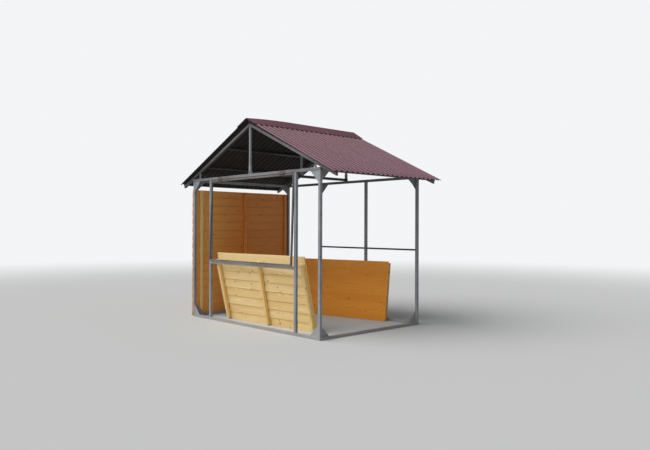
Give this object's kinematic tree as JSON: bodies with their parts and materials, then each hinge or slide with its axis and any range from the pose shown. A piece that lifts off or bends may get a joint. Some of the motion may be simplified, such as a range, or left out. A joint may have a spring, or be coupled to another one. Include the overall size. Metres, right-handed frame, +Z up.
{
  "type": "market hut",
  "caption": "Market hut half put together: square tube frame, gable roof of profiled sheet, one boarded side wall, a hanging serving flap frame and two loose board panels.",
  "frame": {"origin": "on the ground, under the middle of the roof's outline", "axes": "+X to the hut's right as seen from the serving front, +Y from the serving front to the back, +Z up"},
  "size_m": [3.613, 2.21, 3.0301],
  "materials": {
    "grey_paint": "blue-grey paint on square steel tube, scuffed at the hinges and feet",
    "dark_paint": "darker grey paint on the purlins and beams",
    "roof_paint": "satin wine red coating on profiled sheet",
    "stained_wood": "orange-brown stain on lapped softwood boards",
    "raw_wood": "untreated lapped softwood boards with small knots"
  },
  "bodies": {
    "hut": {"base_front": "grey_paint", "base_back": "grey_paint", "base_left": "grey_paint", "base_right": "grey_paint", "post_front_left": "grey_paint", "post_front_right": "grey_paint", "post_back_left": "grey_paint", "post_back_right": "grey_paint", "header_front": "grey_paint", "header_back": "grey_paint", "top_rail_left": "grey_paint", "top_rail_right": "grey_paint", "middle_beam": "dark_paint", "stud_front_left": "grey_paint", "stud_front_right": "grey_paint", "studs_back": "grey_paint", "counter_rail": "grey_paint", "back_rail": "dark_paint", "gussets_front": "grey_paint", "gussets_back": "grey_paint", "gussets_left": "grey_paint", "gussets_right": "grey_paint", "king_posts": "grey_paint", "king_post_feet": "grey_paint", "ridge_beam": "dark_paint", "rafters_left": "grey_paint", "rafters_right": "grey_paint", "rafter_props": "grey_paint", "purlins_left": "dark_paint", "purlins_right": "dark_paint", "roof_sheet_left": "roof_paint", "roof_sheet_right": "roof_paint", "ridge_cap": "roof_paint", "left_wall": "stained_wood", "left_wall_battens": "stained_wood", "counter_panel": "raw_wood", "counter_panel_battens": "raw_wood", "back_panel": "stained_wood", "back_panel_battens": "stained_wood", "hinge_barrels": "grey_paint", "hinge_pins": "dark_paint"},
    "flap": {"flap_top_rail": "grey_paint", "flap_bottom_rail": "grey_paint", "flap_stiles": "grey_paint", "flap_hinge_barrels": "grey_paint"}
  },
  "joints": [
    {"name": "flap_hinge", "type": "hinge", "parent": "hut", "child": "flap", "pos_m": [0, -1.054, 2.157], "axis": [-1, 0, 0], "range_deg": [-1.9, 90]}
  ]
}
